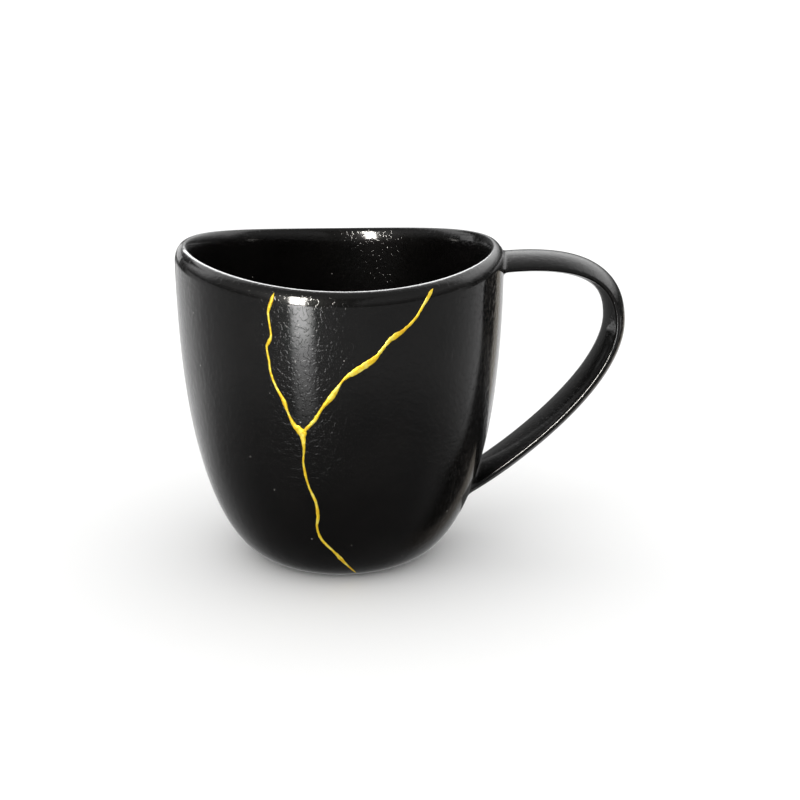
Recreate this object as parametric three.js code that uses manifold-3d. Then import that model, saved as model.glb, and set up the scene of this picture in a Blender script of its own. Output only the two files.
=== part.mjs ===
// An espresso cup with a strap handle, mended along its front with a line of gold.
// Millimetres, +Z up. The origin is the centre of the underside, and the handle points along +X.

import * as THREE from 'three';
import { mergeVertices } from 'three/addons/utils/BufferGeometryUtils.js';
import Module from 'manifold-3d';

const wasm = await Module();
wasm.setup();

// Outside of the body
const rimRadius = 31.35;
const rimHeight = 60.5; // mean height of the lip's crest
const footRadius = 15.5; // flat underside
const baseSpread = 9.1; // how far the wall's first handle leads out from the foot
const baseLift = 2.8; // and up from it
const bellyHeight = 22; // height from which the wall is drawn upright

// Lip, its crest nearer to the inside of the wall
const lipRise = 3; // height over which the outside rolls over to the crest
const lipRoll = 1.85; // from the outside of the wall in to the crest
const lipFall = 3.5; // height over which the inside falls away from the crest

// Inside of the body
const wallThickness = 2.9;
const floorThickness = 4;
const floorSpread = 21; // how far the floor's handle leads out from the axis
const bowlHeight = 16; // height from which the inside is drawn upright

// Wave of the lip, high beside the handle and opposite it, low at front and back
const waveHeight = 1.43;
const waveDip = 0.22; // the handle's side is this much lower, and the side opposite it higher
const waveStart = 28; // the wall below this height is round and level

// Strap handle
const strapWidth = 12;
const strapInset = 1; // from the strap's line in to the edges of its inner face
const strapBelly = 0.9; // bulge of the inner face between its edges
const strapHeight = 1.9; // from the strap's line out to the top of its dome
const strapEdge = 0.5; // radius of the two edges
const handleDrop = 3.05; // from the lip's mean crest down to the strap where it leaves the wall
const handleRise = 1.5; // how far the strap's first handle climbs
const handleRun = 16.1; // and how far it leads out
const handleReach = 22.55; // from the wall to the strap's outermost point
const shoulderDrop = 15.1; // from the lip's mean crest down to that point
const shoulderPull = 9.9; // length of its handle above
const sweepPull = 12.8; // length of its handle below
const tailHeight = 11.9; // where the strap runs into the lower wall
const tailRise = 4.4; // the last handle's rise
const tailRun = 8.2; // and its reach outwards
const joinFillet = 1; // rounding where the strap meets the wall

// Gold seam
const seamWidth = 0.55;
const seamDepth = 0.5; // sunk into the wall
const seamProud = 0.14; // bulging over the glaze
const seamClearance = 0.05; // between the gold and the sides of its groove
const seamStep = 1.5; // spacing of the sections along it

// Route of the gold: degrees round the cup, height as a share of the rim's, width as a share of the seam's
const leftRoute = [
  [-114.9, 0.987, 0.3], [-115.5, 0.965, 1.1], [-116.7, 0.928, 0.8], [-116.4, 0.892, 0.6],
  [-116, 0.856, 0.7], [-116.9, 0.836, 1.1], [-117.7, 0.816, 0.7], [-117.1, 0.779, 0.75],
  [-116.7, 0.742, 0.75], [-115.4, 0.705, 0.8], [-113.4, 0.669, 1], [-112.4, 0.65, 1.35],
  [-111.1, 0.612, 0.7], [-109.1, 0.574, 1.6], [-106.9, 0.556, 2.6], [-106.5, 0.536, 1.6],
  [-106.4, 0.497, 0.75], [-106.9, 0.456, 0.6], [-106.5, 0.416, 0.8], [-105.6, 0.376, 0.6],
  [-103.9, 0.335, 0.9], [-103.2, 0.314, 0.8], [-102.9, 0.271, 1], [-103.7, 0.226, 0.65],
  [-102.2, 0.18, 0.9], [-97.3, 0.132, 0.8], [-94.8, 0.106, 1.3], [-91.9, 0.077, 0.75],
  [-88.2, 0.044, 0.6], [-85.5, 0.022, 0.3],
];
const rightRoute = [
  [-61, 0.987, 0.3], [-62.9, 0.973, 1.1], [-65.7, 0.942, 0.8], [-68.3, 0.91, 0.8],
  [-72.4, 0.879, 1], [-75.3, 0.864, 1.7], [-77.8, 0.847, 1.1], [-80.9, 0.812, 1],
  [-82.8, 0.794, 1.7], [-88.7, 0.758, 1.8], [-91.7, 0.739, 0.9], [-93.4, 0.72, 0.7],
  [-96.1, 0.68, 1.7], [-99.5, 0.639, 0.9], [-102.1, 0.599, 1.1], [-104.1, 0.578, 1],
  [-106.2, 0.557, 1.2],
];

// Fineness
const turns = 64; // sides round the body
const wallSteps = 14;
const bowlSteps = 13;
const lipSteps = 7; // up the outside of the lip
const lipInnerSteps = 5;
const strapSteps = 16; // along each of the strap's two curves
const bellySteps = 4;
const edgeSteps = 3;
const domeSteps = 8;
const searchSteps = 40; // halvings that find a height on the wall

const degrees = Math.PI / 180;
const midWall = wallThickness / 2;
const wallTop = rimHeight - lipRise;
const innerTop = rimHeight - lipFall;
const crestRadius = rimRadius - lipRoll;

// Outline of the outside, from the foot's edge up to the lip, as radius and height
const outerWall = new THREE.CubicBezierCurve(
  new THREE.Vector2(footRadius, 0),
  new THREE.Vector2(footRadius + baseSpread, baseLift),
  new THREE.Vector2(rimRadius, bellyHeight),
  new THREE.Vector2(rimRadius, wallTop),
);
const outerLip = new THREE.EllipseCurve(crestRadius, wallTop, lipRoll, lipRise, 0, Math.PI / 2);
const outline = new THREE.CurvePath();
outline.add(outerWall);
outline.add(outerLip);

// Outline of the inside, from the middle of the floor up to the lip
const innerRadius = rimRadius - wallThickness;
const innerWall = new THREE.CubicBezierCurve(
  new THREE.Vector2(0, floorThickness),
  new THREE.Vector2(floorSpread, floorThickness),
  new THREE.Vector2(innerRadius, bowlHeight),
  new THREE.Vector2(innerRadius, innerTop),
);
const innerLip = new THREE.EllipseCurve(
  crestRadius, innerTop, crestRadius - innerRadius, lipFall, Math.PI / 2, Math.PI,
);

// Height that the lip's wave adds at a point of the wall
function wave(angle, height) {
  const share = THREE.MathUtils.smoothstep(height, waveStart, rimHeight);
  return share * (waveHeight * Math.cos(2 * angle) - waveDip * Math.cos(angle));
}

// A closed geometry as a solid that can be joined and cut
function toSolid(geometry) {
  geometry.deleteAttribute('normal');
  geometry.deleteAttribute('uv');
  const merged = mergeVertices(geometry);
  const corners = merged.index.array;
  const triVerts = [];
  for (let i = 0; i < corners.length; i += 3) {
    const [a, b, c] = corners.slice(i, i + 3);
    if (a !== b && b !== c && c !== a) triVerts.push(a, b, c);
  }
  return new wasm.Manifold(new wasm.Mesh({
    numProp: 3,
    vertProperties: new Float32Array(merged.attributes.position.array),
    triVerts: new Uint32Array(triVerts),
  }));
}

// A joined or cut solid as a geometry for a mesh
function toGeometry(solid) {
  const { vertProperties, triVerts } = solid.getMesh();
  const geometry = new THREE.BufferGeometry();
  geometry.setAttribute('position', new THREE.BufferAttribute(vertProperties, 3));
  geometry.setIndex(new THREE.BufferAttribute(triVerts, 1));
  geometry.computeVertexNormals();
  return geometry;
}

// A profile of radius and height turned round the upright axis, with the lip's wave
function turned(profile) {
  const geometry = new THREE.LatheGeometry(profile, turns);
  geometry.rotateX(Math.PI / 2);
  const place = geometry.attributes.position;
  for (let i = 0; i < place.count; i++) {
    const angle = Math.atan2(place.getY(i), place.getX(i));
    place.setZ(i, place.getZ(i) + wave(angle, place.getZ(i)));
  }
  return toSolid(geometry);
}

// Closed rings of as many points each, skinned in turn and closed at both ends
function lofted(rings) {
  const points = rings.flat();
  const around = rings[0].length;
  const faces = [];
  for (let i = 0; i + 1 < rings.length; i++) {
    for (let j = 0; j < around; j++) {
      const a = i * around + j;
      const b = i * around + (j + 1) % around;
      faces.push(a, b, b + around, a, b + around, a + around);
    }
  }
  for (let j = 1; j + 1 < around; j++) {
    const last = (rings.length - 1) * around;
    faces.push(0, j + 1, j, last, last + j, last + j + 1);
  }
  const geometry = new THREE.BufferGeometry().setFromPoints(points);
  geometry.setIndex(faces);
  return toSolid(geometry);
}

// The vessel: outside, lip, inside and floor in one closed profile
function vessel() {
  return turned([
    new THREE.Vector2(0, 0),
    ...outerWall.getPoints(wallSteps),
    ...outerLip.getPoints(lipSteps).slice(1),
    ...innerLip.getPoints(lipInnerSteps).slice(1, -1),
    ...innerWall.getPoints(bowlSteps).reverse(),
  ]);
}

// The middle of the wall's thickness, as a solid: the handle's roots end at it
function wallCore() {
  const floorMiddle = floorThickness / 2;
  const top = rimHeight + handleRise + strapHeight;
  const core = outerWall.getPoints(wallSteps).map((point) =>
    new THREE.Vector2(point.x - midWall, Math.max(point.y, floorMiddle)));
  return turned([
    new THREE.Vector2(0, floorMiddle),
    ...core,
    new THREE.Vector2(rimRadius - midWall, top),
    new THREE.Vector2(0, top),
  ]);
}

// Where the outside is at a height: its radius there and its outward slope
function wallAt(height) {
  let low = 0;
  let high = 1;
  for (let i = 0; i < searchSteps; i++) {
    const middle = (low + high) / 2;
    if (outline.getPoint(middle).y < height) low = middle;
    else high = middle;
  }
  const tangent = outline.getTangent(low);
  return { radius: outline.getPoint(low).x, out: tangent.y, up: -tangent.x };
}

// Outward direction of the wall, at an angle round the cup
function outwards(wall, angle) {
  return new THREE.Vector3(wall.out * Math.cos(angle), wall.out * Math.sin(angle), wall.up);
}

// The strap's middle line, seen from the front
function strapLine() {
  const outermost = rimRadius + handleReach;
  const shoulder = new THREE.Vector3(outermost, 0, rimHeight - shoulderDrop);
  const start = new THREE.Vector3(rimRadius - midWall, 0, rimHeight - handleDrop);
  const end = new THREE.Vector3(wallAt(tailHeight).radius - midWall, 0, tailHeight);
  const line = new THREE.CurvePath();
  line.add(new THREE.CubicBezierCurve3(
    start,
    new THREE.Vector3(start.x + handleRun, 0, start.z + handleRise),
    new THREE.Vector3(outermost, 0, shoulder.z + shoulderPull),
    shoulder,
  ));
  line.add(new THREE.CubicBezierCurve3(
    shoulder,
    new THREE.Vector3(outermost, 0, shoulder.z - sweepPull),
    new THREE.Vector3(end.x + tailRun, 0, end.z + tailRise),
    end,
  ));
  return line;
}

// An arc of the strap's section, as places across its width and out from its middle line
function arc(side, rise, radius, from, to, steps) {
  const curve = new THREE.EllipseCurve(side, rise, radius, radius, from, to, to < from);
  return curve.getPoints(steps).map(({ x, y }) => [x, y]);
}

// The strap's section: a bulging inner face, round edges, and a dome that leaves the edges without a break
function strapSection() {
  const half = strapWidth / 2 - strapEdge;
  const edgeRise = strapEdge - strapInset;
  const rise = strapHeight - edgeRise - strapEdge;
  const dome = (half ** 2 + rise ** 2 + 2 * rise * strapEdge) / (2 * rise);
  const spread = Math.asin(half / (dome - strapEdge));
  const belly = (half ** 2 + strapBelly ** 2) / (2 * strapBelly);
  const lean = Math.asin(half / belly);
  const right = Math.PI / 2;
  return [
    ...arc(0, belly - strapBelly - strapInset, belly, -right - lean, -right + lean, bellySteps),
    ...arc(half, edgeRise, strapEdge, -right, right - spread, edgeSteps).slice(1),
    ...arc(0, strapHeight - dome, dome, right - spread, right + spread, domeSteps).slice(1),
    ...arc(-half, edgeRise, strapEdge, right + spread, 3 * right, edgeSteps).slice(1, -1),
  ];
}

// The handle, its section spread along the wall at both of its roots
function handle() {
  const line = strapLine();
  const section = strapSection();
  const across = new THREE.Vector3(0, 1, 0);
  const rings = [];
  for (let i = 0; i <= 2 * strapSteps; i++) {
    const curve = line.curves[i < strapSteps ? 0 : 1];
    const share = (i < strapSteps ? i : i - strapSteps) / strapSteps;
    const middle = curve.getPoint(share);
    const out = new THREE.Vector3().crossVectors(curve.getTangent(share), across);
    rings.push(section.map(([side, rise]) => {
      const offset = out.clone().multiplyScalar(rise).addScaledVector(across, side);
      const point = middle.clone().add(offset);
      const angle = Math.atan2(point.y, point.x);
      const wall = wallAt(point.z - wave(angle, point.z));
      const away = outwards(wall, angle);
      const gap = (Math.hypot(point.x, point.y) - wall.radius) * wall.out;
      const near = 1 - THREE.MathUtils.clamp(gap / joinFillet, 0, 1);
      const slide = offset.addScaledVector(away, -offset.dot(away)).normalize();
      return point.addScaledVector(slide, joinFillet * (1 - Math.sqrt(1 - near ** 2)));
    }));
  }
  return lofted(rings).subtract(wallCore());
}

// A point of the outside, with its outward direction
function onWall(angle, height) {
  const wall = wallAt(height);
  return {
    point: new THREE.Vector3(
      wall.radius * Math.cos(angle),
      wall.radius * Math.sin(angle),
      height + wave(angle, height),
    ),
    out: outwards(wall, angle),
  };
}

// A strip laid along a route on the wall: its section grows by the margin and rises to the given height
function strip(route, margin, crown) {
  const waypoints = route.map(([turn, share, width]) => ({
    ...onWall(turn * degrees, share * rimHeight),
    half: width * seamWidth / 2,
  }));
  const path = new THREE.CatmullRomCurve3(waypoints.map(({ point }) => point), false, 'centripetal');
  const rings = [];
  const stretches = waypoints.length - 1;
  for (let i = 0; i < stretches; i++) {
    const from = waypoints[i];
    const to = waypoints[i + 1];
    const steps = Math.ceil(from.point.distanceTo(to.point) / seamStep);
    for (let j = 0; j < steps + (i === stretches - 1 ? 1 : 0); j++) {
      const share = j / steps;
      const place = path.getPoint((i + share) / stretches);
      const along = path.getTangent((i + share) / stretches);
      const out = from.out.clone().lerp(to.out, share).normalize();
      const side = new THREE.Vector3().crossVectors(out, along).normalize();
      const half = THREE.MathUtils.lerp(from.half, to.half, share) + margin;
      const end = i + share === 0 ? -margin : i + share === stretches ? margin : 0;
      place.addScaledVector(along, end);
      rings.push([
        [-half, -seamDepth - margin], [half, -seamDepth - margin], [half, crown[1]],
        [0, crown[0]], [-half, crown[1]],
      ].map(([sideways, outwards]) =>
        place.clone().addScaledVector(side, sideways).addScaledVector(out, outwards)));
    }
  }
  return lofted(rings);
}

// Both branches of the gold, or of the groove that holds it, as one solid
function seam(margin, crown) {
  return strip(leftRoute, margin, crown).add(strip(rightRoute, margin, crown));
}

const group = new THREE.Group();

const glaze = new THREE.MeshStandardMaterial({ color: 0x1d1a19, roughness: 0.2, metalness: 0 });
const grooveCrown = [2 * seamDepth, 2 * seamDepth];
const cupSolid = vessel().add(handle()).subtract(seam(seamClearance, grooveCrown));
const cup = new THREE.Mesh(toGeometry(cupSolid), glaze);
cup.name = 'cup';
group.add(cup);

const gold = new THREE.MeshStandardMaterial({ color: 0xc9a04a, roughness: 0.3, metalness: 1 });
const seamMesh = new THREE.Mesh(toGeometry(seam(0, [seamProud, 0])), gold);
seamMesh.name = 'gold_seam';
group.add(seamMesh);

export default group;
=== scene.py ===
import math

import bmesh
import bpy
from mathutils import Matrix, Vector, noise
from mathutils.geometry import interpolate_bezier


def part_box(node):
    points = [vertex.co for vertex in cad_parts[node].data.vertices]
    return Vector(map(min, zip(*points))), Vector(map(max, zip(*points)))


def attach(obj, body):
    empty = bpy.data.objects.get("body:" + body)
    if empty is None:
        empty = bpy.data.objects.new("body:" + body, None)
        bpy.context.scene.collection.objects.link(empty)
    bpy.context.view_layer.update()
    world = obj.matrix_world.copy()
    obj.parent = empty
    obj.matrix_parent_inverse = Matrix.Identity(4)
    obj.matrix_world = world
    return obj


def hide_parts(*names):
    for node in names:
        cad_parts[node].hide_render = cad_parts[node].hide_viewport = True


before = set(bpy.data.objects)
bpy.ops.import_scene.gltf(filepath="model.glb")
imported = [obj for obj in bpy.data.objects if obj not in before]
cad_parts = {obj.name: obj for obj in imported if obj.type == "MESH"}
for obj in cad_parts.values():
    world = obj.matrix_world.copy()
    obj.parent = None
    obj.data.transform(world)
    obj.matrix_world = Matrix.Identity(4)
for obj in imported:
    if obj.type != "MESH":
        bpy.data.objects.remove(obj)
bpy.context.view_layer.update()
mm = 0.001
cupLow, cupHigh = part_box("cup")
print("stage: frame loaded")


# A bmesh becomes an object in the scene
def makeObject(bm, name):
    mesh = bpy.data.meshes.new(name)
    bm.to_mesh(mesh)
    bm.free()
    made = bpy.data.objects.new(name, mesh)
    bpy.context.scene.collection.objects.link(made)
    return made


# A smooth object that rides on the part's one body
def makePiece(bm, name, replaced):
    piece = makeObject(bm, name)
    piece.data.shade_smooth()
    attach(piece, "root")
    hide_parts(replaced)
    return piece


# Body, inside and out, in mm
body = {
    "rimRadius": -cupLow.x / mm,
    "rimHeight": 60.5,
    "footRadius": 15.5,
    "baseSpread": 9.1,
    "baseLift": 2.8,
    "bellyHeight": 22,
    "wall": 2.9,
    "floor": 4,
    "floorSpread": 21,
    "bowlHeight": 16,
    "waveHeight": 1.43,   # the lip is high at the handle and opposite it
    "waveDip": 0.22,      # and this much lower at the handle than opposite it
    "waveStart": 28,
    "turns": 224,
    "wallSteps": 66,
    "bowlSteps": 56,
    "lipRise": 3,         # the outside rolls over to the crest in this height
    "lipRoll": 1.85,      # from the outside of the wall in to the crest
    "lipFall": 3.5,       # the inside falls away from the crest in this height
    "lipSteps": 22,
    "lipInnerSteps": 12,
    "unevenness": 0.035,  # the hand-turned wall isn't quite true
    "unevenSize": 17,
    "unevenShift": 0.6,   # taken off the noise, so that nearly all of the dents go inwards
    "unevenFrom": (0.5, 6),   # the underside stays flat
    "undersideShares": (0, 0.3, 0.6, 0.85),
    "outlineSteps": 400,  # of the line that other pieces are laid on
    "lipOutlineSteps": 60,
    "mergeWithin": 1e-4,
}
midWall = body["wall"] / 2
wallTop = body["rimHeight"] - body["lipRise"]
innerTop = body["rimHeight"] - body["lipFall"]
crest = body["rimRadius"] - body["lipRoll"]


def flat(radius, height):
    return Vector((radius, 0, height))


def outerControls():
    return [
        flat(body["footRadius"], 0),
        flat(body["footRadius"] + body["baseSpread"], body["baseLift"]),
        flat(body["rimRadius"], body["bellyHeight"]),
        flat(body["rimRadius"], wallTop),
    ]


def innerControls():
    inner = body["rimRadius"] - body["wall"]
    return [
        flat(0, body["floor"]),
        flat(body["floorSpread"], body["floor"]),
        flat(inner, body["bowlHeight"]),
        flat(inner, innerTop),
    ]


def smoothShare(value, low, high):
    share = min(max((value - low) / (high - low), 0), 1)
    return share * share * (3 - 2 * share)


# What the lip's wave adds to a point's height
def wave(angle, height):
    lift = body["waveHeight"] * math.cos(2 * angle) - body["waveDip"] * math.cos(angle)
    return lift * smoothShare(height, body["waveStart"], body["rimHeight"])


# A quarter of an ellipse that ends upright at one end and level at the crest
def lipLine(reach, rise, steps):
    turns = [math.pi / 2 * step / steps for step in range(1, steps + 1)]
    return [flat(crest + reach * math.cos(turn), body["rimHeight"] + rise * (math.sin(turn) - 1))
            for turn in turns]


outerLine = (interpolate_bezier(*outerControls(), body["outlineSteps"])
             + lipLine(body["lipRoll"], body["lipRise"], body["lipOutlineSteps"]))


# Radius of the outer wall at a height, and its outward direction there
def wallAt(height):
    low, high = 0, len(outerLine) - 1
    while high - low > 1:
        middle = (low + high) // 2
        if outerLine[middle].z < height:
            low = middle
        else:
            high = middle
    step = outerLine[high] - outerLine[low]
    share = (height - outerLine[low].z) / max(step.z, 1e-6)
    radius = outerLine[low].x + min(max(share, 0), 1) * step.x
    slope = step.normalized()
    return radius, Vector((slope.z, 0, -slope.x))


def onWall(angle, height):
    radius, out = wallAt(height)
    turn = Matrix.Rotation(angle, 3, "Z")
    place = turn @ Vector((radius, 0, height))
    place.z += wave(angle, height)
    return place, turn @ out


# The wall's profile, spun round the upright axis
def addVessel(bm):
    profile = [flat(share * body["footRadius"], 0) for share in body["undersideShares"]]
    profile += interpolate_bezier(*outerControls(), body["wallSteps"])
    profile += lipLine(body["lipRoll"], body["lipRise"], body["lipSteps"])
    innerRoll = body["rimRadius"] - body["wall"] - crest
    innerLip = lipLine(innerRoll, body["lipFall"], body["lipInnerSteps"])
    profile += reversed(innerLip[:-1])
    profile += reversed(interpolate_bezier(*innerControls(), body["bowlSteps"]))
    corners = [bm.verts.new(point) for point in profile]
    edges = [bm.edges.new(pair) for pair in zip(corners, corners[1:])]
    bmesh.ops.spin(bm, geom=corners + edges, cent=(0, 0, 0), axis=(0, 0, 1), angle=2 * math.pi,
                   steps=body["turns"], use_merge=True)
    bmesh.ops.remove_doubles(bm, verts=bm.verts, dist=body["mergeWithin"])
    for corner in bm.verts:
        angle = math.atan2(corner.co.y, corner.co.x)
        away = smoothShare(corner.co.z, *body["unevenFrom"])
        grain = noise.noise(corner.co / body["unevenSize"]) - body["unevenShift"]
        dent = body["unevenness"] * away * grain
        around = Vector((corner.co.x, corner.co.y, 0)).normalized()
        corner.co += around * dent
        corner.co.z += wave(angle, corner.co.z)


# Strap handle, in mm
strap = {
    "width": 12,
    "inset": 1,           # from the strap's line in to the edges of its inner face
    "belly": 0.9,         # bulge of the inner face between its edges
    "height": 1.9,        # from the strap's line out to the top of its dome
    "edgeRadius": 0.5,
    "drop": 3.05,         # below the lip's mean height
    "rise": 1.5,
    "run": 16.1,
    "reach": 22.55,
    "shoulderDrop": 15.1,
    "shoulderPull": 9.9,
    "sweepPull": 12.8,
    "tailHeight": 11.9,
    "tailRise": 4.4,
    "tailRun": 8.2,
    "fillet": 1,
    "along": 190,
    "lineSteps": 300,     # of each half of the strap's middle line
    "bellySteps": 16,
    "edgeSteps": 12,
    "domeSteps": 26,
}


# The strap's middle line, from the wall under the lip to the lower wall
def strapLine():
    outermost = body["rimRadius"] + strap["reach"]
    start = flat(body["rimRadius"] - midWall, body["rimHeight"] - strap["drop"])
    shoulder = flat(outermost, body["rimHeight"] - strap["shoulderDrop"])
    end = flat(wallAt(strap["tailHeight"])[0] - midWall, strap["tailHeight"])
    upper = interpolate_bezier(start, start + flat(strap["run"], strap["rise"]),
                               shoulder + flat(0, strap["shoulderPull"]), shoulder, strap["lineSteps"])
    lower = interpolate_bezier(shoulder, shoulder - flat(0, strap["sweepPull"]),
                               end + flat(strap["tailRun"], strap["tailRise"]), end, strap["lineSteps"])
    return upper + lower[1:]


# Points of an arc, its start left out
def arc(side, rise, radius, start, end, steps):
    turns = [start + (end - start) * step / steps for step in range(1, steps + 1)]
    return [(side + radius * math.cos(turn), rise + radius * math.sin(turn)) for turn in turns]


# The strap's section: a bulging inner face, round edges, and a dome that runs on from them
def strapSection():
    edge = strap["edgeRadius"]
    half = strap["width"] / 2 - edge
    edgeRise = edge - strap["inset"]
    rise = strap["height"] - edgeRise - edge
    dome = (half ** 2 + rise ** 2 + 2 * rise * edge) / (2 * rise)
    spread = math.asin(half / (dome - edge))
    belly = (half ** 2 + strap["belly"] ** 2) / (2 * strap["belly"])
    lean = math.asin(half / belly)
    right = math.pi / 2
    bellyRise = belly - strap["belly"] - strap["inset"]
    domeRise = strap["height"] - dome
    return (arc(0, bellyRise, belly, -right - lean, -right + lean, strap["bellySteps"])
            + arc(half, edgeRise, edge, -right, right - spread, strap["edgeSteps"])
            + arc(0, domeRise, dome, right - spread, right + spread, strap["domeSteps"])
            + arc(-half, edgeRise, edge, right + spread, 3 * right, strap["edgeSteps"]))


# Point and direction at a share of a line's length
def pointAlong(line, lengths, share):
    target = share * lengths[-1]
    low, high = 0, len(line) - 1
    while high - low > 1:
        middle = (low + high) // 2
        if lengths[middle] <= target:
            low = middle
        else:
            high = middle
    step = line[high] - line[low]
    return line[low] + step * ((target - lengths[low]) / max(step.length, 1e-9)), step.normalized()


def lengthsOf(line):
    lengths = [0]
    for a, b in zip(line, line[1:]):
        lengths.append(lengths[-1] + (b - a).length)
    return lengths


# A grid rolled up into a closed strip: place(along, around) gives each of its points
def addRolledGrid(bm, along, around, place):
    made = bmesh.ops.create_grid(bm, x_segments=along, y_segments=around, size=1)["verts"]
    rolled = {}
    for corner in made:
        column = round((corner.co.x + 1) / 2 * along)
        row = round((corner.co.y + 1) / 2 * around) % around
        if (column, row) not in rolled:
            rolled[column, row] = place(column / along, row)
        corner.co = rolled[column, row]
    bmesh.ops.remove_doubles(bm, verts=made, dist=1e-5)
    rims = [edge for edge in bm.edges if edge.is_boundary]
    bmesh.ops.holes_fill(bm, edges=rims, sides=0)


def addHandle(bm):
    line = strapLine()
    lengths = lengthsOf(line)
    section = strapSection()
    across = Vector((0, 1, 0))

    def place(along, row):
        share = (1 - math.cos(math.pi * along)) / 2   # closer together at the roots
        middle, direction = pointAlong(line, lengths, share)
        out = direction.cross(across)
        side, rise = section[row]
        offset = across * side + out * rise
        point = middle + offset
        angle = math.atan2(point.y, point.x)
        radius, wallOut = wallAt(point.z - wave(angle, point.z))
        wallOut = Matrix.Rotation(angle, 3, "Z") @ wallOut
        gap = (math.hypot(point.x, point.y) - radius) * math.hypot(wallOut.x, wallOut.y)
        near = 1 - min(max(gap / strap["fillet"], 0), 1)
        slide = (offset - wallOut * offset.dot(wallOut)).normalized()
        return point + slide * strap["fillet"] * (1 - math.sqrt(1 - near * near))

    addRolledGrid(bm, strap["along"], len(section), place)


def makeCup():
    bm = bmesh.new()
    addVessel(bm)
    addHandle(bm)
    bmesh.ops.scale(bm, vec=(mm, mm, mm), verts=bm.verts)
    bmesh.ops.recalc_face_normals(bm, faces=bm.faces)
    return makePiece(bm, "glazedCup", "cup")


# Gold line: degrees round the cup, share of the rim's height, share of the line's width
gold = {
    "width": 0.62,
    "sunk": 0.3,
    "proud": 0.13,
    "step": 0.14,
    "raggedness": 0.3,
    "raggedSize": 0.7,
    "lumpiness": 0.03,
    "lumpSize": 0.5,
    "leastHalf": 0.06,
    "taper": 0.9,         # length over which each end runs out
    "bluntness": 0.02,
    "edgeSunk": 0.05,     # the crown starts this far under the glaze
    "fullCrownHalf": 0.25,   # a strip narrower than this has a lower crown
    "undersideShare": 0.9,
    "curveSteps": 24,     # between two points of the route
    "crownSteps": 12,
    "left": [
        (-114.9, 0.987, 0.3), (-115.5, 0.965, 1.1), (-116.7, 0.928, 0.8), (-116.4, 0.892, 0.6),
        (-116, 0.856, 0.7), (-116.9, 0.836, 1.1), (-117.7, 0.816, 0.7), (-117.1, 0.779, 0.75),
        (-116.7, 0.742, 0.75), (-115.4, 0.705, 0.8), (-113.4, 0.669, 1), (-112.4, 0.65, 1.35),
        (-111.1, 0.612, 0.7), (-109.1, 0.574, 1.6), (-106.9, 0.556, 2.6), (-106.5, 0.536, 1.6),
        (-106.4, 0.497, 0.75), (-106.9, 0.456, 0.6), (-106.5, 0.416, 0.8), (-105.6, 0.376, 0.6),
        (-103.9, 0.335, 0.9), (-103.2, 0.314, 0.8), (-102.9, 0.271, 1), (-103.7, 0.226, 0.65),
        (-102.2, 0.18, 0.9), (-97.3, 0.132, 0.8), (-94.8, 0.106, 1.3), (-91.9, 0.077, 0.75),
        (-88.2, 0.044, 0.6), (-85.5, 0.022, 0.3),
    ],
    "right": [
        (-61, 0.987, 0.3), (-62.9, 0.973, 1.1), (-65.7, 0.942, 0.8), (-68.3, 0.91, 0.8),
        (-72.4, 0.879, 1), (-75.3, 0.864, 1.7), (-77.8, 0.847, 1.1), (-80.9, 0.812, 1),
        (-82.8, 0.794, 1.7), (-88.7, 0.758, 1.8), (-91.7, 0.739, 0.9), (-93.4, 0.72, 0.7),
        (-96.1, 0.68, 1.7), (-99.5, 0.639, 0.9), (-102.1, 0.599, 1.1), (-104.1, 0.578, 1),
        (-106.2, 0.557, 1.2),
    ],
}


# Value between the knots of a smooth curve through them
def smoothBetween(knots, at):
    spot = min(int(at), len(knots) - 2)
    share = at - spot
    a, b, c, d = (knots[min(max(spot + k, 0), len(knots) - 1)] for k in (-1, 0, 1, 2))
    return 0.5 * (2 * b + (c - a) * share + (2 * a - 5 * b + 4 * c - d) * share ** 2
                  + (3 * b - a - 3 * c + d) * share ** 3)


def addGoldStrip(bm, route, seed):
    angles = [math.radians(turn) for turn, _, _ in route]
    heights = [share * body["rimHeight"] for _, share, _ in route]
    widths = [width * gold["width"] / 2 for _, _, width in route]
    line, outs, halves = [], [], []
    fine = gold["curveSteps"]
    for step in range(fine * (len(route) - 1) + 1):
        at = step / fine
        spot, out = onWall(smoothBetween(angles, at), smoothBetween(heights, at))
        line.append(spot)
        outs.append(out)
        halves.append(max(smoothBetween(widths, at), gold["leastHalf"]))
    lengths = lengthsOf(line)
    turns = [math.pi * k / gold["crownSteps"] for k in range(gold["crownSteps"] + 1)]
    under = gold["undersideShare"]
    section = [(math.cos(turn), math.sin(turn)) for turn in turns] + [(-under, -1), (0, -1), (under, -1)]

    def place(along, row):
        middle, direction = pointAlong(line, lengths, along)
        nearest = min(range(len(line)), key=lambda i: (line[i] - middle).length_squared)
        out = outs[nearest]
        side = out.cross(direction).normalized()
        across, rise = section[row]
        spot = Vector((along * lengths[-1] / gold["raggedSize"], math.copysign(3, across), seed))
        half = halves[nearest] * (1 + gold["raggedness"] * noise.noise(spot))
        ends = min(along, 1 - along) * lengths[-1] / gold["taper"]
        half *= math.sqrt(min(ends + gold["bluntness"], 1))
        if rise < 0:
            height = -gold["sunk"]
        else:
            lump = gold["lumpiness"] * noise.noise(middle / gold["lumpSize"] + Vector((0, 0, row / 5)))
            full = min(half / gold["fullCrownHalf"], 1)
            height = (gold["proud"] + gold["edgeSunk"]) * full * rise - gold["edgeSunk"] + lump * rise
        return middle + side * across * half + out * height

    addRolledGrid(bm, round(lengths[-1] / gold["step"]), len(section), place)


def makeGold():
    bm = bmesh.new()
    addGoldStrip(bm, gold["left"], 0)
    addGoldStrip(bm, gold["right"], 40)
    bmesh.ops.scale(bm, vec=(mm, mm, mm), verts=bm.verts)
    bmesh.ops.recalc_face_normals(bm, faces=bm.faces)
    return makePiece(bm, "goldLine", "gold_seam")


def grey(value):
    return (value, value, value)


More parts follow.
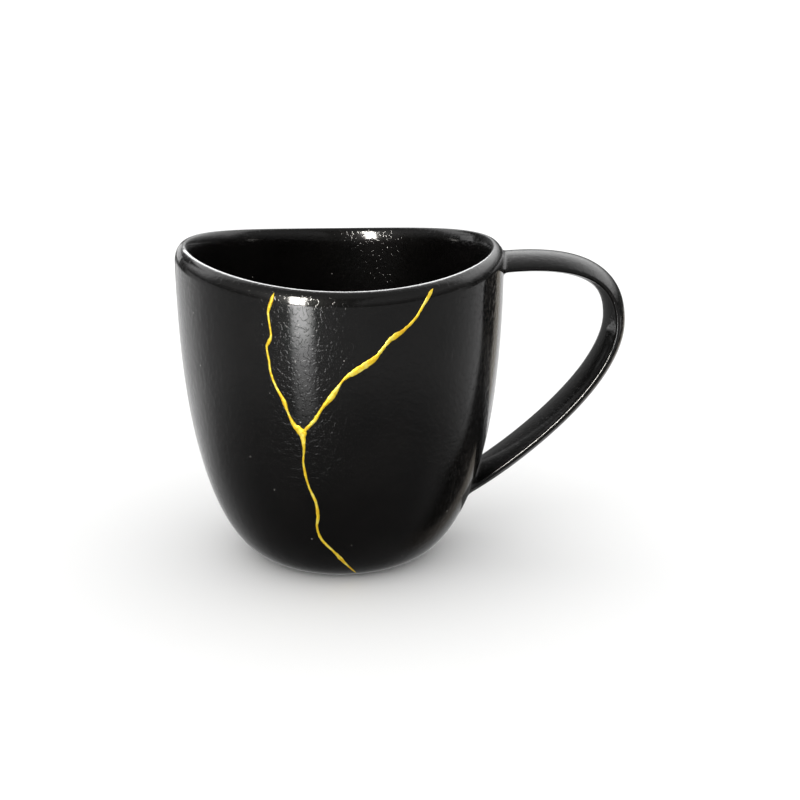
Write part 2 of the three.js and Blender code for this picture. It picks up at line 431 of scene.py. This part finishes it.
# Node helpers
def newMaterial(name):
    material = bpy.data.materials.new(name)
    material.use_nodes = True
    tree = material.node_tree
    shader = tree.nodes["Principled BSDF"]
    spots = tree.nodes.new("ShaderNodeTexCoord")
    return material, tree, shader, spots.outputs["Object"]


def addNoise(tree, spots, size, detail=2.0, roughness=0.5):
    grain = tree.nodes.new("ShaderNodeTexNoise")
    grain.inputs["Scale"].default_value = 1 / (size * mm)
    grain.inputs["Detail"].default_value = detail
    grain.inputs["Roughness"].default_value = roughness
    tree.links.new(spots, grain.inputs["Vector"])
    return grain.outputs["Fac"]


# A ramp's colours are given as tuples, or as plain numbers for greys
def addRamp(tree, value, stops):
    ramp = tree.nodes.new("ShaderNodeValToRGB")
    knots = ramp.color_ramp.elements
    knots.remove(knots[1])
    knots[0].position = stops[0][0]
    for position, _ in stops[1:]:
        knots.new(position)
    for knot, (_, tone) in zip(knots, stops):
        knot.color = (*(tone if isinstance(tone, tuple) else grey(tone)), 1)
    tree.links.new(value, ramp.inputs["Fac"])
    return ramp.outputs["Color"]


def addBump(tree, height, distance, below=None):
    bump = tree.nodes.new("ShaderNodeBump")
    bump.inputs["Distance"].default_value = distance * mm
    bump.inputs["Strength"].default_value = 1
    tree.links.new(height, bump.inputs["Height"])
    if below is not None:
        tree.links.new(below, bump.inputs["Normal"])
    return bump.outputs["Normal"]


def addMix(tree, share, first, second):
    mix = tree.nodes.new("ShaderNodeMix")
    mix.data_type = "RGBA"
    tree.links.new(share, mix.inputs[0])
    for socket, colour in ((mix.inputs[6], first), (mix.inputs[7], second)):
        if isinstance(colour, tuple):
            socket.default_value = (*colour, 1)
        else:
            tree.links.new(colour, socket)
    return mix.outputs[2]


def matteMaterial(name, look):
    material, _, shader, _ = newMaterial(name)
    shader.inputs["Base Color"].default_value = (*look["colour"], 1)
    shader.inputs["Roughness"].default_value = look["roughness"]
    shader.inputs["Specular IOR Level"].default_value = look["sheen"]
    return material


# Black glaze: deep, slightly brown, with a fine orange-peel skin and a few pale specks
glazeLook = {
    "dark": (0.0016, 0.0014, 0.0013),
    "light": (0.0034, 0.0029, 0.0026),
    "speck": (0.42, 0.40, 0.37),
    "roughness": (0.36, 0.48),   # of the soft sheen under the gloss
    "sheen": 0.05,               # strength of that sheen
    "gloss": 0.09,               # roughness of the gloss
    "peelSize": 2.4,
    "peelDepth": 0.009,
    "flakeSize": 1.05,           # shallow raised flakes in the skin of the glaze
    "flakeDepth": 0.011,
    "flakeEdge": (0.50, 0.54),
    "fineSize": 0.4,
    "fineDepth": 0.0012,
    "cloudSize": 9,
    "cloudEdge": (0.35, 0.7),
    "sheenSize": 3.5,
    "sheenEdge": (0.3, 0.75),
    "speckSpacing": 4.2,
    "speckEdge": (0.018, 0.03),
}


def glazeMaterial():
    material, tree, shader, spots = newMaterial("blackGlaze")
    look = glazeLook
    cloud = addNoise(tree, spots, look["cloudSize"], 3)
    base = addRamp(tree, cloud, list(zip(look["cloudEdge"], (look["dark"], look["light"]))))
    specks = tree.nodes.new("ShaderNodeTexVoronoi")
    specks.inputs["Scale"].default_value = 1 / (look["speckSpacing"] * mm)
    tree.links.new(spots, specks.inputs["Vector"])
    where = addRamp(tree, specks.outputs["Distance"], list(zip(look["speckEdge"], (1, 0))))
    tree.links.new(addMix(tree, where, base, look["speck"]), shader.inputs["Base Color"])
    cloud = addNoise(tree, spots, look["sheenSize"], 4, 0.6)
    soft = addRamp(tree, cloud, list(zip(look["sheenEdge"], look["roughness"])))
    tree.links.new(soft, shader.inputs["Roughness"])
    peel = addBump(tree, addNoise(tree, spots, look["peelSize"], 1.5), look["peelDepth"])
    grain = addNoise(tree, spots, look["flakeSize"], 2, 0.55)
    flakes = addRamp(tree, grain, list(zip(look["flakeEdge"], (0, 1))))
    flaked = addBump(tree, flakes, look["flakeDepth"], below=peel)
    skin = addBump(tree, addNoise(tree, spots, look["fineSize"], 2), look["fineDepth"], below=flaked)
    tree.links.new(skin, shader.inputs["Normal"])
    tree.links.new(skin, shader.inputs["Coat Normal"])
    shader.inputs["Specular IOR Level"].default_value = look["sheen"]
    shader.inputs["Coat Weight"].default_value = 1
    shader.inputs["Coat Roughness"].default_value = look["gloss"]
    return material


# Gold: powder burnished on lacquer, with paler and warmer spots
goldLook = {
    "warm": (0.82, 0.45, 0.015),
    "middle": (0.93, 0.65, 0.02),
    "pale": (0.98, 0.82, 0.15),
    "roughness": (0.35, 0.55),
    "glossSize": 0.5,
    "glossEdge": (0.3, 0.7),
    "metal": 0.45,
    "spotSize": 1.6,
    "spotEdge": (0.32, 0.5, 0.66),
    "grainSize": 0.14,
    "grainDepth": 0.012,
}


def goldMaterial():
    material, tree, shader, spots = newMaterial("goldPowder")
    look = goldLook
    tone = addNoise(tree, spots, look["spotSize"], 3, 0.6)
    colours = (look["warm"], look["middle"], look["pale"])
    colour = addRamp(tree, tone, list(zip(look["spotEdge"], colours)))
    tree.links.new(colour, shader.inputs["Base Color"])
    cloud = addNoise(tree, spots, look["glossSize"], 2)
    gloss = addRamp(tree, cloud, list(zip(look["glossEdge"], look["roughness"])))
    tree.links.new(gloss, shader.inputs["Roughness"])
    grain = addBump(tree, addNoise(tree, spots, look["grainSize"], 2), look["grainDepth"])
    tree.links.new(grain, shader.inputs["Normal"])
    shader.inputs["Metallic"].default_value = look["metal"]
    return material


cup = makeCup()
cup.data.materials.append(glazeMaterial())
print("stage: cup made,", len(cup.data.polygons), "faces")
goldLine = makeGold()
goldLine.data.materials.append(goldMaterial())
print("stage: gold line made,", len(goldLine.data.polygons), "faces")

# Camera, as the photograph was taken, in mm and degrees
shot = {
    "distance": 300,
    "pitch": 17.16,
    "turn": -5.3,          # round the cup from straight in front
    "aim": (11.46, 0, 30.4),
    "focal": 1524,         # pixels
    "frameWidth": 800,     # pixels
    "sensor": 36,
    "nearest": 10,
}


# Turned from the photograph's view to the part's frame
def fromShot(x, y, z):
    return Matrix.Rotation(math.radians(shot["turn"]), 3, "Z") @ Vector((x, y, z)) * mm


def aimAt(thing, target):
    thing.rotation_euler = (target - thing.location).to_track_quat("-Z", "Y").to_euler()


def makeCamera():
    data = bpy.data.cameras.new("camera")
    data.sensor_width = shot["sensor"]
    data.lens = shot["sensor"] * shot["focal"] / shot["frameWidth"]
    camera = bpy.data.objects.new("camera", data)
    bpy.context.scene.collection.objects.link(camera)
    pitch = math.radians(shot["pitch"])
    away = Vector((0, -math.cos(pitch), math.sin(pitch))) * shot["distance"]
    camera.location = fromShot(*(Vector(shot["aim"]) + away))
    aimAt(camera, fromShot(*shot["aim"]))
    data.clip_start = shot["nearest"] * mm
    bpy.context.scene.camera = camera


ground = {
    "halfSize": 12,       # m
    "colour": (0.93, 0.93, 0.925),
    "roughness": 0.9,
    "sheen": 0.1,
}


def makeFloor():
    bm = bmesh.new()
    bmesh.ops.create_grid(bm, x_segments=2, y_segments=2, size=ground["halfSize"])
    floor = makeObject(bm, "floor")
    floor.data.materials.append(matteMaterial("paleFloor", ground))
    floor.visible_glossy = False   # the glaze mirrors the dim studio instead


# A dark sheet on the table behind the cup, seen only by the glaze, in the photograph's view: painted
# shadow, standing in for the cup's shade on the table where the glaze mirrors it
shade = {
    "corners": [(-28, 45, 0.2), (-45, 60, 0.2), (-62, 120, 0.2), (-80, 200, 0.2), (-900, 1500, 0.2),
                (60, 1500, 0.2), (45, 45, 0.2), (36, 8, 0.2)],
    "colour": grey(0.1),
    "roughness": 1,
    "sheen": 0,
}


def makeShade():
    bm = bmesh.new()
    bm.faces.new([bm.verts.new(fromShot(*corner)) for corner in shade["corners"]])
    sheet = makeObject(bm, "shade")
    # painted shadow: the sheet's dark colour stands in for the table's shade behind the cup
    sheet.data.materials.append(matteMaterial("paintedShadowSheet", shade))
    sheet.visible_camera = False
    sheet.visible_diffuse = False
    sheet.visible_shadow = False


# Lamps seen only in the glaze, in the photograph's view, in mm
lamps = {
    "key": {"place": (-162.5, -356.7, 195.6), "target": (0, 0, 45), "size": (66, 256), "radiance": 60,
            "colour": (1, 0.96, 0.9)},
    "lipLight": {"place": (-5, 18, 92), "target": (-5, -30, 92), "size": (70, 44), "radiance": 4.5,
                 "colour": (1, 1, 1)},
    "leftCard": {"place": (-64, 60, 66), "target": (-30, -6, 62), "size": (34, 22), "radiance": 1,
                 "colour": (1, 1, 1)},
}


def makeLamps():
    for name, lamp in lamps.items():
        data = bpy.data.lights.new(name, "AREA")
        data.shape = "RECTANGLE"
        data.size, data.size_y = (length * mm for length in lamp["size"])
        data.energy = lamp["radiance"] * math.pi * data.size * data.size_y
        data.color = lamp["colour"]
        thing = bpy.data.objects.new(name, data)
        bpy.context.scene.collection.objects.link(thing)
        thing.location = fromShot(*lamp["place"])
        aimAt(thing, fromShot(*lamp["target"]))
        thing.visible_camera = False
        thing.visible_diffuse = False   # the room alone lights the floor


# What the glaze mirrors, by how far a direction points to the back, sideways or up
room = {
    "light": grey(1.25),  # what lights the floor and the gold
    "below": [(0.37, 0.33), (0.62, 0.45), (0.8, 0.9)],
    "belowUp": [(0.1, 0.2), (0.25, 0.45), (0.32, 1)],
    "belowRight": [(0.7, 1), (0.75, (0.64, 0.58, 0.5)), (0.79, (0.54, 0.49, 0.42)), (0.805, 0.01),
                   (0.9, 0.01), (0.92, 1.2)],
    "back": [(0.52, 0.05), (0.6, 0.7), (0.64, 1.4), (0.72, 1.9), (0.8, 1.9), (0.9, 1.2), (0.96, 0.6),
             (1, 0.4)],
    "dusk": [(0.07, 0.45), (0.12, 0.02), (0.17, 0.02), (0.24, 0.12), (0.36, 0.15), (0.44, 0.25),
             (0.55, 0.05)],
    "duskBelow": [(0.41, 0), (0.43, 1)],    # the dim stretch round the horizon behind
    "duskLeft": [(0.09, 0), (0.14, 1), (0.36, 1), (0.42, 0)],   # higher on the left
    "duskAbove": [(0.74, 1), (0.78, 0)],
    "front": [(0.5, 0.06), (0.58, 0.16), (0.68, 0.38), (0.9, 0.3)],
    "horizon": (0.5, 0.51),
    "gleamTurn": 24.5,    # the lamp's gleam on the table lies this far left of the camera
    "gleamWidth": [(0.43, 0), (0.47, 1), (0.53, 1), (0.58, 0)],
    "gleam": [(0.24, 0), (0.27, 0.9), (0.3, 1.6), (0.325, 2.6), (0.348, 4.5), (0.36, 8.5), (0.385, 11),
              (0.48, 14), (0.5, 0)],
    "screenWidth": [(0.56, 0), (0.6, 1), (0.76, 1), (0.81, 0)],   # a dark screen in front
    "screen": [(0.5, 0), (0.52, 0.9), (0.82, 0.9), (0.92, 0)],
    "screenColour": grey(0.02),
    "behind": [(0.5, 0), (0.62, 1)],
    "inFront": [(0.45, 1), (0.5, 0)],
}


# Share, from 0 to 1, of how far each direction points along a given one
def addShareAlong(tree, way, along):
    dot = tree.nodes.new("ShaderNodeVectorMath")
    dot.operation = "DOT_PRODUCT"
    tree.links.new(way, dot.inputs[0])
    dot.inputs[1].default_value = along
    share = tree.nodes.new("ShaderNodeMapRange")
    share.inputs["From Min"].default_value = -1
    tree.links.new(dot.outputs["Value"], share.inputs["Value"])
    return share.outputs["Result"]


def addColours(tree, first, second, blend):
    mix = tree.nodes.new("ShaderNodeMix")
    mix.data_type = "RGBA"
    mix.blend_type = blend
    mix.inputs[0].default_value = 1
    for socket, colour in ((mix.inputs[6], first), (mix.inputs[7], second)):
        tree.links.new(colour, socket)
    return mix.outputs[2]


def makeRoom():
    world = bpy.data.worlds.new("studio")
    bpy.context.scene.world = world
    world.use_nodes = True
    world.cycles.sampling_method = "NONE"
    tree = world.node_tree
    spots = tree.nodes.new("ShaderNodeTexCoord")
    way = spots.outputs["Generated"]
    left = math.radians(room["gleamTurn"])
    back = addShareAlong(tree, way, fromShot(0, 1, 0).normalized())
    up = addShareAlong(tree, way, (0, 0, 1))
    sideways = addShareAlong(tree, way, fromShot(math.cos(left), -math.sin(left), 0).normalized())
    right = addShareAlong(tree, way, fromShot(1, 0, 0).normalized())

    def byUp(name):
        return addRamp(tree, up, room[name])

    def times(first, second):
        return addColours(tree, first, second, "MULTIPLY")

    above = addRamp(tree, up, list(zip(room["horizon"], (0, 1))))
    behind = addRamp(tree, back, room["behind"])
    inFront = addRamp(tree, back, room["inFront"])
    dusk = addRamp(tree, right, room["dusk"])
    duskLeft = times(addRamp(tree, right, room["duskLeft"]), byUp("duskAbove"))
    wall = addMix(tree, duskLeft, byUp("back"), dusk)
    screen = times(times(addRamp(tree, sideways, room["screenWidth"]), inFront), byUp("screen"))
    over = addMix(tree, screen, addMix(tree, behind, byUp("front"), wall), room["screenColour"])
    table = addRamp(tree, back, room["below"])
    table = addMix(tree, behind, table, times(table, addRamp(tree, right, room["belowRight"])))
    table = addMix(tree, times(byUp("duskBelow"), behind), times(table, byUp("belowUp")), dusk)
    gleam = times(times(addRamp(tree, sideways, room["gleamWidth"]), inFront), byUp("gleam"))
    mirrored = addMix(tree, above, addColours(tree, table, gleam, "ADD"), over)
    path = tree.nodes.new("ShaderNodeLightPath")
    seen = addMix(tree, path.outputs["Is Glossy Ray"], room["light"], mirrored)
    tree.links.new(seen, tree.nodes["Background"].inputs["Color"])


makeCamera()
makeFloor()
makeShade()
makeLamps()
makeRoom()
bpy.context.scene.view_settings.view_transform = "Standard"
print("stage: camera, floor, lamps and room made")
